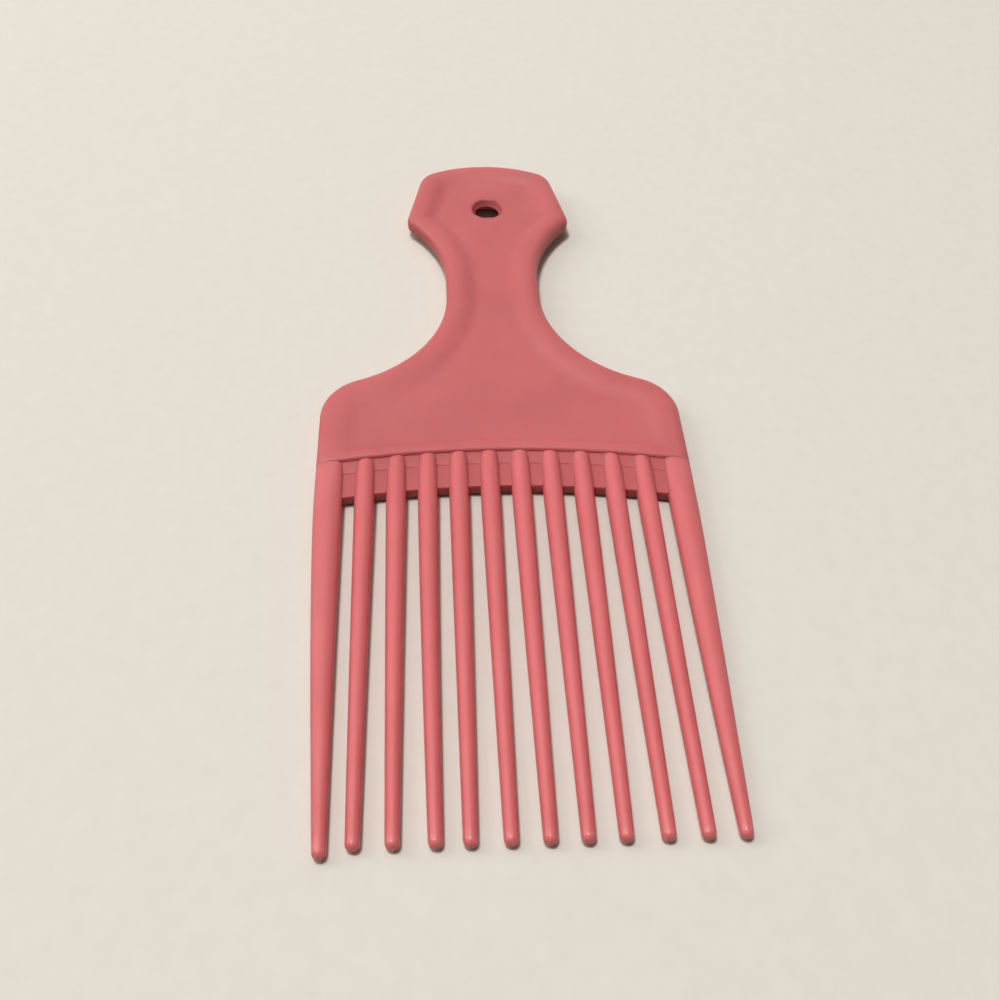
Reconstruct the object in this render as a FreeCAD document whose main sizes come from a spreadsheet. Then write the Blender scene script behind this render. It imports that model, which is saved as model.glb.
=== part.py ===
"""Afro pick: one plastic moulding, divided at its own creases into a handle plate, teeth and webs.

The pick lies flat: +Z is up, +X runs across the teeth and +Y runs from the tooth tips to the handle.
The origin is below the middle of the pick, on the surface that it rests on.  Lengths are in millimetres.
"""
import FreeCAD, Part
import enum
import math
import os

import Sketcher

# Driving dimensions: name, value and what it measures.
SIZES = [
    ("pick_thickness", 4.4, "through the raised rim"),
    ("edge_round", 1.6, "rounding of the plate's outer edges"),
    ("crown_radius", 28.0, "gentle arch of the handle's top edge"),
    ("crown_corner", 5.5, "rounding of the two top corners"),
    ("head_width", 35.8, "across the widest corners of the handle head"),
    ("head_drop", 19.8, "top edge down to the centre of the widest corners"),
    ("head_corner", 3.1, "rounding of the widest corners"),
    ("head_lean", 11.6, "lean of the head's sides from the long axis, in degrees"),
    ("neck_width", 19.4, "across the narrowest part of the neck"),
    ("neck_radius", 28.5, "hollow side of the neck below the head"),
    ("neck_straight", 5.5, "straight stretch at the narrowest part of the neck"),
    ("flare_radius", 26.8, "hollow side of the neck above the shoulder"),
    ("shoulder_radius", 9.9, "rounding of the shoulder corners"),
    ("side_length", 12.98, "straight side, from the lip to the shoulder's rounding"),
    ("lip_radius", 186.0, "arch of the lip that the teeth grow from"),
    ("lip_bevel", 0.4, "bevel of the lip's edges"),
    ("rim_width", 3.0, "outer edge to the mouth of the dish"),
    ("lip_border", 2.0, "lip to the mouth of the dish"),
    ("dish_depth", 0.7, "rim down to the floor of the dish"),
    ("dish_slope", 2.2, "mouth of the dish to its floor, seen from above"),
    ("dish_corner", 2.0, "rounding of the dish's corners"),
    ("hole_diameter", 6.6, "hang hole"),
    ("hole_drop", 16.0, "top edge down to the centre of the hang hole"),
    ("hole_bevel", 0.4, "bevel of the hang hole's edges"),
    ("tooth_length", 74.1, "tooth tips to the crown of the lip"),
    ("tooth_root", 3.55, "diameter of an inner tooth at the lip"),
    ("tooth_gap", 2.02, "clear gap between two inner teeth at the lip"),
    ("tooth_tip", 2.2, "diameter of an inner tooth at its domed tip"),
    ("tooth_land", 12.0, "crown of the lip down to where the teeth start to taper"),
    ("guard_root_width", 5.0, "width of a guard tooth at the lip"),
    ("guard_root_thickness", 3.5, "thickness of a guard tooth at the lip"),
    ("guard_tip", 2.1, "diameter of a guard tooth's domed tip"),
    ("guard_gap", 2.05, "clear gap between a guard tooth and its neighbour at the lip"),
    ("web_length", 8.2, "lip to the front edge of the webs"),
    ("web_thickness", 1.2, "thickness of the flat part of the webs"),
    ("web_root", 2.2, "thickness of the webs at the lip"),
    ("web_slope", 2.6, "lip to the foot of the webs' slope"),
    ("web_round", 0.3, "rounding of the webs' front edges"),
]
INNER_TEETH = 10
TOOTH_SPANS = 2
GUARD_SPANS = 6
GUARD_ARCH = 1.25
UP = FreeCAD.Vector(0, 0, 1)
CLOSE = 1e-6


class Side(enum.IntEnum):
    """Side of the long axis, as the sign of x."""

    LEFT = -1
    RIGHT = 1


class Point(enum.IntEnum):
    """Points of a sketch's lines and arcs, by the sketch's own numbers."""

    START = 1
    END = 2
    CENTRE = 3


ORIGIN = (-1, Point.START)

doc = FreeCAD.newDocument("afro_pick")
sizes = doc.addObject("Spreadsheet::Sheet", "sizes")
for row, (alias, amount, meaning) in enumerate(SIZES, start=1):
    sizes.set("A%d" % row, meaning)
    sizes.set("B%d" % row, str(amount))
    sizes.setAlias("B%d" % row, alias)
doc.recompute()


def number(expression):
    """Value of an expression of the sheet's cells, as a plain number."""
    result = sizes.evalExpression(expression)
    return float(getattr(result, "Value", result))


def new_piece(kind, name, x, y, z, **expressions):
    """A new object at the expressions x, y and z, with other properties bound to expressions."""
    piece = doc.addObject(kind, name)
    piece.Label = name
    for axis, expression in zip("xyz", (x, y, z)):
        piece.setExpression("Placement.Base." + axis, expression)
    for key, expression in expressions.items():
        piece.setExpression(key, expression)
    return piece


def combine(kind, name, base, tool):
    """A boolean of two objects."""
    result = doc.addObject(kind, name)
    result.Label = name
    result.Base = base
    result.Tool = tool
    return result


def new_sketch(body, name, role, height="0"):
    """A sketch of the body on one of its origin planes, moved along its normal by an expression."""
    sketch = body.newObject("Sketcher::SketchObject", name)
    plane = [feature for feature in body.Origin.OriginFeatures if feature.Role == role][0]
    sketch.AttachmentSupport = [(plane, "")]
    sketch.MapMode = "FlatFace"
    sketch.setExpression("AttachmentOffset.Base.z", height)
    return sketch


class Drawing:
    """Geometry and constraints of one sketch, handed to it together."""

    def __init__(self, sketch):
        self.sketch = sketch
        self.constraints = []
        self.expressions = {}

    def add(self, geometry):
        """Adds an arc, a circle or a line, and returns its number."""
        return self.sketch.addGeometry(geometry)

    def rule(self, kind, *places):
        """A constraint without a size."""
        self.constraints.append(Sketcher.Constraint(kind, *places))

    def dimension(self, kind, places, expression):
        """A driving constraint, bound to an expression."""
        amount = number(expression)
        if kind == "Angle":
            amount = math.radians(amount)
        self.expressions[len(self.constraints)] = expression
        self.constraints.append(Sketcher.Constraint(kind, *places, amount))

    def place_point(self, geometry, point, x, y):
        """Holds a point at the expressions x and y."""
        self.dimension("DistanceX", (*ORIGIN, geometry, point), x)
        self.dimension("DistanceY", (*ORIGIN, geometry, point), y)

    def join(self, first, second, smooth):
        """Joins two neighbours of a chain at their nearest ends, tangent to each other if smooth."""
        pairs = [(a, b) for a in (Point.START, Point.END) for b in (Point.START, Point.END)]
        place = self.sketch.getPoint
        gaps = [(place(first, a) - place(second, b)).Length for a, b in pairs]
        a, b = pairs[gaps.index(min(gaps))]
        self.rule("Tangent" if smooth else "Coincident", first, a, second, b)

    def finish(self):
        """Sets the constraints, binds their sizes and returns the sketch."""
        self.sketch.addConstraint(self.constraints)
        for index, expression in self.expressions.items():
            name = "size_%d" % index
            self.sketch.renameConstraint(index, name)
            self.sketch.setExpression("Constraints." + name, expression)
        return self.sketch


def arc(centre, radius, first, last):
    """An arc about the centre, anticlockwise from the direction of first to that of last."""
    circle = Part.Circle(centre, UP, radius)
    angles = [math.atan2(point.y - centre.y, point.x - centre.x) for point in (first, last)]
    return Part.ArcOfCircle(circle, angles[0], angles[1])


def on_line_and_circle(normal, offset, centre, radius):
    """Upper point that lies on the line normal * p = offset and on a circle."""
    along = FreeCAD.Vector(-normal.y, normal.x, 0)
    gap = offset - normal.dot(centre)
    return centre + normal * gap + along * math.sqrt(radius ** 2 - gap ** 2)


# Plate outline

MIDDLE = "(sizes.pick_thickness / 2)"
TOOTH_PITCH = "(sizes.tooth_root + sizes.tooth_gap)"
LAST_TOOTH = f"({INNER_TEETH - 1} / 2 * {TOOTH_PITCH})"
GUARD_INNER = f"({LAST_TOOTH} + sizes.tooth_root / 2 + sizes.guard_gap)"
SIDE = f"({GUARD_INNER} + sizes.guard_root_width)"
LIP_CENTRE = "(sizes.tooth_length - sizes.lip_radius)"
LIP_END = f"({LIP_CENTRE} + sqrt(sizes.lip_radius^2 - {SIDE}^2))"
SHOULDER_X = f"({SIDE} - sizes.shoulder_radius)"
SHOULDER_Y = f"({LIP_END} + sizes.side_length)"
FLARE_X = "(sizes.neck_width / 2 + sizes.flare_radius)"
FLARE_RISE = f"sqrt((sizes.flare_radius + sizes.shoulder_radius)^2 - ({SHOULDER_X} - {FLARE_X})^2)"
FLARE_Y = f"({SHOULDER_Y} + {FLARE_RISE})"
NECK_X = "(sizes.neck_width / 2 + sizes.neck_radius)"
NECK_Y = f"({FLARE_Y} + sizes.neck_straight)"
HEAD_X = "(sizes.head_width / 2 - sizes.head_corner)"
HEAD_Y = f"({NECK_Y} + sqrt((sizes.neck_radius + sizes.head_corner)^2 - ({NECK_X} - {HEAD_X})^2))"
TOP = f"({HEAD_Y} + sizes.head_drop)"
CROWN_CENTRE = f"({TOP} - sizes.crown_radius)"
LEAN = "(sizes.head_lean * 1 deg)"
HEAD_REACH = f"({HEAD_X} * cos({LEAN}) + {HEAD_Y} * sin({LEAN}) + sizes.head_corner)"
TIP_LINE = f"(-{TOP} / 2)"


class Outline:
    """Closed outline of the plate, or of its dish, as a chain of tangent arcs and lines.

    The outline keeps the plate's own arcs and lines, drawn in by inset, and by lip_inset at the lip.
    All arguments are expressions.  Without a lip_corner the lip ends in sharp corners.
    """

    def __init__(self, inset, lip_inset, crown_corner, cheek, lip_corner):
        self.crown = f"sizes.crown_radius - ({inset})"
        self.reach = f"{HEAD_REACH} - ({inset})"
        self.neck = f"sizes.neck_radius + ({inset})"
        self.flare = f"sizes.flare_radius + ({inset})"
        self.shoulder = f"sizes.shoulder_radius - ({inset})"
        self.waist = f"sizes.neck_width / 2 - ({inset})"
        self.side = f"{SIDE} - ({inset})"
        self.lip = f"sizes.lip_radius + ({lip_inset})"
        self.crown_corner = crown_corner
        self.cheek = cheek
        self.lip_corner = lip_corner

    def right_pieces(self):
        """Arcs and lines of the right side, with the ends that the crown and the lip start from."""
        lean = math.radians(number("sizes.head_lean"))
        normal = FreeCAD.Vector(math.cos(lean), math.sin(lean), 0)
        reach, waist, side = number(self.reach), number(self.waist), number(self.side)
        crown, neck, flare, lip = (number(size) for size in (self.crown, self.neck, self.flare, self.lip))
        corner, cheek, shoulder = (number(size) for size in (self.crown_corner, self.cheek, self.shoulder))
        crown_centre = FreeCAD.Vector(0, number(CROWN_CENTRE), 0)
        neck_centre = FreeCAD.Vector(waist + neck, number(NECK_Y), 0)
        flare_centre = FreeCAD.Vector(waist + flare, number(FLARE_Y), 0)
        lip_centre = FreeCAD.Vector(0, number(LIP_CENTRE), 0)
        corner_centre = on_line_and_circle(normal, reach - corner, crown_centre, crown - corner)
        cheek_centre = on_line_and_circle(normal, reach - cheek, neck_centre, neck + cheek)
        shoulder_x = side - shoulder
        shoulder_fall = math.sqrt((flare + shoulder) ** 2 - (shoulder_x - flare_centre.x) ** 2)
        shoulder_centre = FreeCAD.Vector(shoulder_x, flare_centre.y - shoulder_fall, 0)

        crown_end = crown_centre + (corner_centre - crown_centre).normalize() * crown
        lean_top = corner_centre + normal * corner
        lean_foot = cheek_centre + normal * cheek
        neck_top = neck_centre + (cheek_centre - neck_centre).normalize() * neck
        waist_top = FreeCAD.Vector(waist, neck_centre.y, 0)
        waist_foot = FreeCAD.Vector(waist, flare_centre.y, 0)
        flare_foot = flare_centre + (shoulder_centre - flare_centre).normalize() * flare
        side_top = FreeCAD.Vector(side, shoulder_centre.y, 0)
        pieces = [
            ("arc", corner_centre, corner, lean_top, crown_end),
            ("line", None, None, lean_foot, lean_top),
            ("arc", cheek_centre, cheek, neck_top, lean_foot),
            ("arc", neck_centre, neck, neck_top, waist_top),
            ("line", None, None, waist_foot, waist_top),
            ("arc", flare_centre, flare, waist_foot, flare_foot),
            ("arc", shoulder_centre, shoulder, side_top, flare_foot),
        ]
        if self.lip_corner is None:
            side_foot = FreeCAD.Vector(side, lip_centre.y + math.sqrt(lip ** 2 - side ** 2), 0)
            pieces.append(("line", None, None, side_foot, side_top))
            return pieces, crown_end, side_foot
        fold = number(self.lip_corner)
        fold_x = side - fold
        fold_rise = math.sqrt((lip + fold) ** 2 - fold_x ** 2)
        fold_centre = FreeCAD.Vector(fold_x, lip_centre.y + fold_rise, 0)
        side_foot = FreeCAD.Vector(side, fold_centre.y, 0)
        lip_end = lip_centre + (fold_centre - lip_centre).normalize() * lip
        pieces.append(("line", None, None, side_foot, side_top))
        pieces.append(("arc", fold_centre, fold, lip_end, side_foot))
        return pieces, crown_end, lip_end

    def draw(self, body, name, height):
        """The outline as a sketch of the body at a height above its middle plane."""
        drawing = Drawing(new_sketch(body, name, "XY_Plane", height))
        pieces, crown_end, lip_end = self.right_pieces()
        chains = {side: [draw_piece(drawing, piece, side) for piece in pieces]
                  for side in Side}
        middles = []
        for radius, centre, end in ((self.crown, CROWN_CENTRE, crown_end),
                                    (self.lip, LIP_CENTRE, lip_end)):
            middle = FreeCAD.Vector(0, number(centre), 0)
            middles.append(drawing.add(arc(middle, number(radius), end, mirrored(end))))
            drawing.dimension("Radius", (middles[-1],), radius)
            drawing.place_point(middles[-1], Point.CENTRE, "0", centre)
        crown, lip = middles
        for side, chain in chains.items():
            for first, second in zip([crown] + chain[:-1], chain):
                drawing.join(first, second, True)
            drawing.join(chain[-1], lip, self.lip_corner is not None)
            self.hold(drawing, chain, side)
        return drawing.finish()

    def hold(self, drawing, chain, side):
        """Sizes and places of one side's arcs and lines."""
        corner, lean, cheek, neck, waist, flare, shoulder, edge = chain[:8]
        drawing.dimension("Radius", (corner,), self.crown_corner)
        drawing.dimension("Angle", (lean,), f"90 deg + {side} * {LEAN}")
        drawing.dimension("Distance", (*ORIGIN, lean), self.reach)
        drawing.dimension("Radius", (cheek,), self.cheek)
        drawing.dimension("Radius", (neck,), self.neck)
        drawing.dimension("DistanceY", (*ORIGIN, neck, Point.CENTRE), NECK_Y)
        drawing.rule("Vertical", waist)
        drawing.dimension("DistanceX", (*ORIGIN, waist, Point.START), f"{side} * ({self.waist})")
        drawing.dimension("Radius", (flare,), self.flare)
        drawing.dimension("DistanceY", (*ORIGIN, flare, Point.CENTRE), FLARE_Y)
        drawing.dimension("Radius", (shoulder,), self.shoulder)
        drawing.rule("Vertical", edge)
        drawing.dimension("DistanceX", (*ORIGIN, edge, Point.START), f"{side} * ({self.side})")
        for fold in chain[8:]:
            drawing.dimension("Radius", (fold,), self.lip_corner)


def mirrored(point):
    """The point's twin on the other side of the long axis."""
    return FreeCAD.Vector(-point.x, point.y, 0)


def draw_piece(drawing, piece, side):
    """Adds one arc or line of the right side to the sketch, or its twin on the left."""
    kind, centre, radius, first, last = piece
    if side == Side.LEFT:
        first, last = mirrored(first), mirrored(last)
    if kind == "line":
        return drawing.add(Part.LineSegment(first, last))
    if side == Side.RIGHT:
        return drawing.add(arc(centre, radius, first, last))
    return drawing.add(arc(mirrored(centre), radius, last, first))


# Handle plate

def level_faces(shape, height):
    """Flat faces of a shape at one height above its middle plane, and at the same height below."""
    return [face for face in shape.Faces if isinstance(face.Surface, Part.Plane)
            and abs(abs(face.CenterOfMass.z) - height) < CLOSE and face.BoundBox.ZLength < CLOSE]


def outer_edges(faces):
    """Edges round the outside of flat faces."""
    return [edge for face in faces for edge in face.OuterWire.Edges]


def inner_edges(faces):
    """Edges round the openings in flat faces."""
    return [edge for face in faces for wire in face.Wires if not wire.isSame(face.OuterWire)
            for edge in wire.Edges]


def on_lip(edge):
    """Whether an edge follows the lip's arch."""
    curve = edge.Curve
    return isinstance(curve, Part.Circle) and curve.Radius > number("sizes.lip_radius") - CLOSE


def dress_edges(body, kind, name, edges, key, size):
    """Rounds or bevels edges of the body's last feature, with the property key bound to a size."""
    base = body.Tip
    names = ["Edge%d" % (index + 1) for index, edge in enumerate(base.Shape.Edges)
             if any(edge.isSame(wanted) for wanted in edges)]
    dressing = body.newObject(kind, name)
    dressing.Base = (base, names)
    dressing.setExpression(key, size)
    doc.recompute()


def make_handle_plate():
    """Handle head, neck and shoulder: a rounded plate, dished on both faces, with a hang hole."""
    body = new_piece("PartDesign::Body", "handle_plate", "0", TIP_LINE, MIDDLE)
    outer = Outline("0", "0", "sizes.crown_corner", "sizes.head_corner", None)
    pad = body.newObject("PartDesign::Pad", "plate_blank")
    pad.Profile = outer.draw(body, "plate_outline", "0")
    pad.SideType = "Symmetric"
    pad.setExpression("Length", "sizes.pick_thickness")

    mouth = Outline("sizes.rim_width", "sizes.lip_border", "sizes.dish_corner", "sizes.dish_corner",
                    "sizes.dish_corner")
    floor = Outline("sizes.rim_width + sizes.dish_slope", "sizes.lip_border + sizes.dish_slope",
                    "sizes.dish_corner", "sizes.dish_corner", "sizes.dish_corner")
    floor_height = f"({MIDDLE} - sizes.dish_depth)"
    for face, sign in (("upper", "1"), ("lower", "-1")):
        dish = body.newObject("PartDesign::SubtractiveLoft", face + "_dish")
        dish.Profile = mouth.draw(body, face + "_mouth", f"{sign} * {MIDDLE}")
        dish.Sections = [floor.draw(body, face + "_floor", f"{sign} * {floor_height}")]
        dish.Ruled = True
    drawing = Drawing(new_sketch(body, "hang_hole_outline", "XY_Plane"))
    hole_place = f"{TOP} - sizes.hole_drop"
    hole_radius = "sizes.hole_diameter / 2"
    hole_centre = FreeCAD.Vector(0, number(hole_place), 0)
    circle = drawing.add(Part.Circle(hole_centre, UP, number(hole_radius)))
    drawing.dimension("Radius", (circle,), hole_radius)
    drawing.place_point(circle, Point.CENTRE, "0", hole_place)
    hole = body.newObject("PartDesign::Pocket", "hang_hole")
    hole.Profile = drawing.finish()
    hole.Type = "ThroughAll"
    hole.SideType = "Symmetric"
    doc.recompute()

    rim_level, floor_level = number(MIDDLE), number(floor_height)
    hole_edges = inner_edges(level_faces(body.Tip.Shape, floor_level))
    dress_edges(body, "PartDesign::Chamfer", "hole_bevelling", hole_edges, "Size", "sizes.hole_bevel")
    side_edges = [edge for edge in outer_edges(level_faces(body.Tip.Shape, rim_level)) if not on_lip(edge)]
    dress_edges(body, "PartDesign::Fillet", "edge_rounding", side_edges, "Radius", "sizes.edge_round")
    lip_edges = [edge for edge in outer_edges(level_faces(body.Tip.Shape, rim_level)) if on_lip(edge)]
    dress_edges(body, "PartDesign::Chamfer", "lip_bevelling", lip_edges, "Size", "sizes.lip_bevel")
    return body


# Teeth

def make_tooth(name, sections, tip_radius, root, lip_disc):
    """A tapering tooth with a domed tip, lofted through elliptical sections and cut off at the lip.

    Each section is x, y, width and thickness.  The first is round and lies at the dome's centre, and
    the last meets the straight root, if the loft doesn't hold the root itself.
    """
    ellipses = []
    for x, y, width, thickness in sections:
        ellipse = new_piece("Part::Ellipse", f"{name}_section_{len(ellipses)}", x, y, MIDDLE,
                            MajorRadius=f"{width} / 2", MinorRadius=f"{thickness} / 2")
        ellipse.Placement.Rotation = FreeCAD.Rotation(FreeCAD.Vector(1, 0, 0), 90)
        ellipses.append(ellipse)
    blade = doc.addObject("Part::Loft", name + "_blade")
    blade.Sections = ellipses
    blade.Solid = True
    blade.Ruled = True
    tip_x, tip_y = sections[0][:2]
    tip = new_piece("Part::Sphere", name + "_tip", tip_x, tip_y, MIDDLE, Radius=tip_radius)
    blank = combine("Part::Fuse", name + "_blank", blade, tip)
    if root is not None:
        blank = combine("Part::Fuse", name + "_rooted", blank, root)
    return combine("Part::Common", name, blank, lip_disc)


def make_inner_tooth(name, x, lip_disc):
    """A round tooth: straight where the webs meet it, then tapering evenly to its tip."""
    tip_radius = "(sizes.tooth_tip / 2)"
    taper_length = f"(sizes.tooth_length - sizes.tooth_land - {tip_radius})"
    sections = []
    for station in range(TOOTH_SPANS + 1):
        rise = f"({station} / {TOOTH_SPANS})"
        width = f"(sizes.tooth_tip + (sizes.tooth_root - sizes.tooth_tip) * {rise})"
        sections.append((x, f"{TIP_LINE} + {tip_radius} + {taper_length} * {rise}", width, width))
    taper_end = sections[-1][1]
    root = new_piece("Part::Cylinder", name + "_root", x, taper_end, MIDDLE,
                     Radius="sizes.tooth_root / 2", Height="sizes.tooth_land + sizes.tooth_root")
    root.Placement.Rotation = FreeCAD.Rotation(FreeCAD.Vector(1, 0, 0), -90)
    return make_tooth(name, sections, tip_radius, root, lip_disc)


def make_guard_tooth(name, side, lip_disc):
    """A wide outer tooth: straight inside, and outside an arch that runs into the plate's side."""
    tip_radius = "(sizes.guard_tip / 2)"
    taper_length = f"(sizes.tooth_length - sizes.tooth_land - {tip_radius})"
    spread = "(sizes.guard_root_width - sizes.guard_tip)"
    swell = "(sizes.guard_root_thickness - sizes.guard_tip)"
    sections = []
    for station in range(GUARD_SPANS + 1):
        rise = f"({station} / {GUARD_SPANS})"
        width = f"(sizes.guard_root_width - {spread} * (1 - {rise})^{GUARD_ARCH})"
        thickness = f"(sizes.guard_tip + {swell} * {rise})"
        x = f"{side} * ({GUARD_INNER} + {width} / 2)"
        sections.append((x, f"{TIP_LINE} + {tip_radius} + {taper_length} * {rise}", width, thickness))
    root_x, root_width, root_thickness = sections[-1][0], sections[-1][2], sections[-1][3]
    sections.append((root_x, f"{TIP_LINE} + sizes.tooth_length", root_width, root_thickness))
    return make_tooth(name, sections, tip_radius, None, lip_disc)


# Webs

def make_web(name, left_x, right_x, left_tooth, right_tooth, lip_disc):
    """A thin web between two teeth, square to the lip and cut to the teeth's flanks."""
    body = new_piece("PartDesign::Body", name + "_bar", "0", f"{TIP_LINE} + {LIP_CENTRE}", MIDDLE)
    left_angle, right_angle = (f"asin(({x}) / sizes.lip_radius)" for x in (left_x, right_x))
    body.setExpression("Placement.Rotation.Angle", f"-({left_angle} + {right_angle}) / 2")
    flat, root, lip = "sizes.web_thickness / 2", "sizes.web_root / 2", "sizes.lip_radius"
    front, foot = "sizes.lip_radius - sizes.web_length", "sizes.lip_radius - sizes.web_slope"
    back = "sizes.lip_radius + sizes.web_slope"
    drawing = Drawing(new_sketch(body, name + "_profile", "YZ_Plane"))
    rounding = number("sizes.web_round")
    step = number(f"{root} - {flat}")
    sweep = (number("sizes.web_slope") ** 2 + step ** 2) / (2 * step)
    chain = []
    for up in (1, -1):
        nose = FreeCAD.Vector(number(front), up * (number(flat) - rounding), 0)
        shelf = FreeCAD.Vector(number(front) + rounding, up * number(flat), 0)
        bend = FreeCAD.Vector(number(foot), up * number(flat), 0)
        seat = FreeCAD.Vector(number(lip), up * number(root), 0)
        heel = FreeCAD.Vector(number(back), up * number(root), 0)
        nose_centre = FreeCAD.Vector(shelf.x, nose.y, 0)
        sweep_centre = FreeCAD.Vector(bend.x, up * (number(flat) + sweep), 0)
        nose_ends = (shelf, nose) if up > 0 else (nose, shelf)
        slope_ends = (bend, seat) if up > 0 else (seat, bend)
        nose_arc = drawing.add(arc(nose_centre, rounding, *nose_ends))
        level = drawing.add(Part.LineSegment(shelf, bend))
        slope = drawing.add(arc(sweep_centre, sweep, *slope_ends))
        tail = drawing.add(Part.LineSegment(seat, heel))
        drawing.join(nose_arc, level, True)
        drawing.join(level, slope, True)
        drawing.join(slope, tail, False)
        drawing.rule("Horizontal", level)
        drawing.rule("Horizontal", tail)
        drawing.dimension("Radius", (nose_arc,), "sizes.web_round")
        drawing.place_point(level, Point.END, foot, f"{up} * {flat}")
        drawing.place_point(tail, Point.START, lip, f"{up} * {root}")
        chain.append((nose_arc, tail, nose, heel))
    (upper_nose, upper_tail, nose, heel), (lower_nose, lower_tail, lower_point, lower_heel) = chain
    wall = drawing.add(Part.LineSegment(lower_point, nose))
    end = drawing.add(Part.LineSegment(lower_heel, heel))
    drawing.join(wall, upper_nose, True)
    drawing.join(wall, lower_nose, True)
    drawing.join(end, upper_tail, False)
    drawing.join(end, lower_tail, False)
    drawing.rule("Vertical", end)
    drawing.dimension("DistanceX", (*ORIGIN, wall, Point.START), front)
    drawing.dimension("DistanceX", (*ORIGIN, end, Point.START), back)
    bar = body.newObject("PartDesign::Pad", name + "_pad")
    bar.Profile = drawing.finish()
    bar.SideType = "Symmetric"
    bar.setExpression("Length", f"({right_x}) - ({left_x})")
    trimmed = combine("Part::Common", name + "_at_lip", body, lip_disc)
    half_cut = combine("Part::Cut", name + "_half", trimmed, left_tooth)
    return combine("Part::Cut", name, half_cut, right_tooth)


# Assembly

plate = make_handle_plate()
disc = new_piece("Part::Cylinder", "lip_disc", "0", f"{TIP_LINE} + {LIP_CENTRE}", "0",
                 Radius="sizes.lip_radius", Height="sizes.pick_thickness")
guard_x = f"({SIDE} - sizes.guard_root_width / 2)"
tooth_xs = [f"{index} * {TOOTH_PITCH} - {LAST_TOOTH}" for index in range(INNER_TEETH)]
teeth = [make_guard_tooth("guard_tooth_left", Side.LEFT, disc)]
for index, x in enumerate(tooth_xs):
    teeth.append(make_inner_tooth("tooth_%02d" % (index + 1), x, disc))
teeth.append(make_guard_tooth("guard_tooth_right", Side.RIGHT, disc))
xs = [f"-{guard_x}"] + tooth_xs + [guard_x]
webs = [make_web("web_%02d" % (index + 1), xs[index], xs[index + 1], teeth[index], teeth[index + 1], disc)
        for index in range(len(teeth) - 1)]
doc.recompute()

for piece in doc.Objects:
    if "Invalid" in piece.State or "Error" in piece.State:
        raise RuntimeError("%s did not build: %s" % (piece.Label, piece.State))
os.makedirs("parts", exist_ok=True)
for piece in [plate] + teeth + webs:
    if piece.Shape.isNull() or not piece.Shape.isValid() or len(piece.Shape.Solids) != 1:
        raise RuntimeError("%s is not one closed solid" % piece.Label)
    piece.Shape.exportStep("parts/%s.step" % piece.Label)
    print("%-18s volume %8.1f mm3" % (piece.Label, piece.Shape.Volume))
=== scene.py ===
"""Looks of a moulded pick: a dished plate, tapering teeth and thin webs in satin pink plastic.

Lengths are in millimetres until a mesh is made.  In the pick's own measure x runs across the teeth, y runs
from the tip line to the handle, and z is counted from the pick's middle plane.
"""

import logging
import math
from dataclasses import dataclass
from enum import Enum
from typing import Mapping, Optional, Sequence, Union

import bmesh
import bpy
from mathutils import Matrix, Vector
from mathutils.geometry import delaunay_2d_cdt

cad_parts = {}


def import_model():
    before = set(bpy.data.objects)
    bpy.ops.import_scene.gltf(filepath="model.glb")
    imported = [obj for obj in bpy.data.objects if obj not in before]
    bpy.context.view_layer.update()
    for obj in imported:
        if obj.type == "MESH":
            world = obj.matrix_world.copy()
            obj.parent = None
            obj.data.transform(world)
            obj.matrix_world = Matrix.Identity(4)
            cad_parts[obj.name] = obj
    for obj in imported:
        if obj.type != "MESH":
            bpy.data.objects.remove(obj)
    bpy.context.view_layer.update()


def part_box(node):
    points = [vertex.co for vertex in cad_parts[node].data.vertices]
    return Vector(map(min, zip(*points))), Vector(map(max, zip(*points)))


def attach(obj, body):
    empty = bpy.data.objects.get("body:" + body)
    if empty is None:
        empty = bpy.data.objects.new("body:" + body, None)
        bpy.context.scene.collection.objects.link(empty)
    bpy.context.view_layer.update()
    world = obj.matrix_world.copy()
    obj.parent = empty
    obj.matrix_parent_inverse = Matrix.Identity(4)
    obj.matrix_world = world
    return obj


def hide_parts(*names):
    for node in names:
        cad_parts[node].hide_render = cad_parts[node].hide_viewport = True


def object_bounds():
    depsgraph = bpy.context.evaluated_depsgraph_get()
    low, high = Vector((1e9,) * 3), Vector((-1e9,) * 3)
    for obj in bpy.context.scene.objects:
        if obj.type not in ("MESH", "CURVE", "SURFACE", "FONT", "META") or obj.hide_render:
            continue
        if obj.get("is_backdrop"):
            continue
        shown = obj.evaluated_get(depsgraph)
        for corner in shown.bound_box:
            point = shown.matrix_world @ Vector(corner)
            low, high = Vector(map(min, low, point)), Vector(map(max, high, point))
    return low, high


MM = 0.001
BODY = "root"
SHARP_EDGE = math.radians(50)
QUARTER_TURN = math.pi / 2
# Squareness of a section that is a plain ellipse.
ELLIPSE = 2.0
# How a plan is cut into triangles: inside its edges only, and with points this far apart kept apart.
INSIDE_ONLY = 1
PLAN_TOLERANCE = 1e-6
LOG = logging.getLogger("pick")

SocketValue = Union[float, Sequence[float], bpy.types.NodeSocket]


def linear_colour(code: str) -> tuple[float, float, float, float]:
    """Turns an sRGB hex colour into linear red, green, blue and a full alpha.

    The numbers in the formula are those of the sRGB standard.

    Args:
        code: colour such as "#D56D70".

    Returns:
        The linear colour.
    """
    channels = [int(code[start:start + 2], 16) / 255 for start in (1, 3, 5)]
    red, green, blue = (part / 12.92 if part <= 0.04045 else ((part + 0.055) / 1.055) ** 2.4
                        for part in channels)
    return red, green, blue, 1.0


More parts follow.
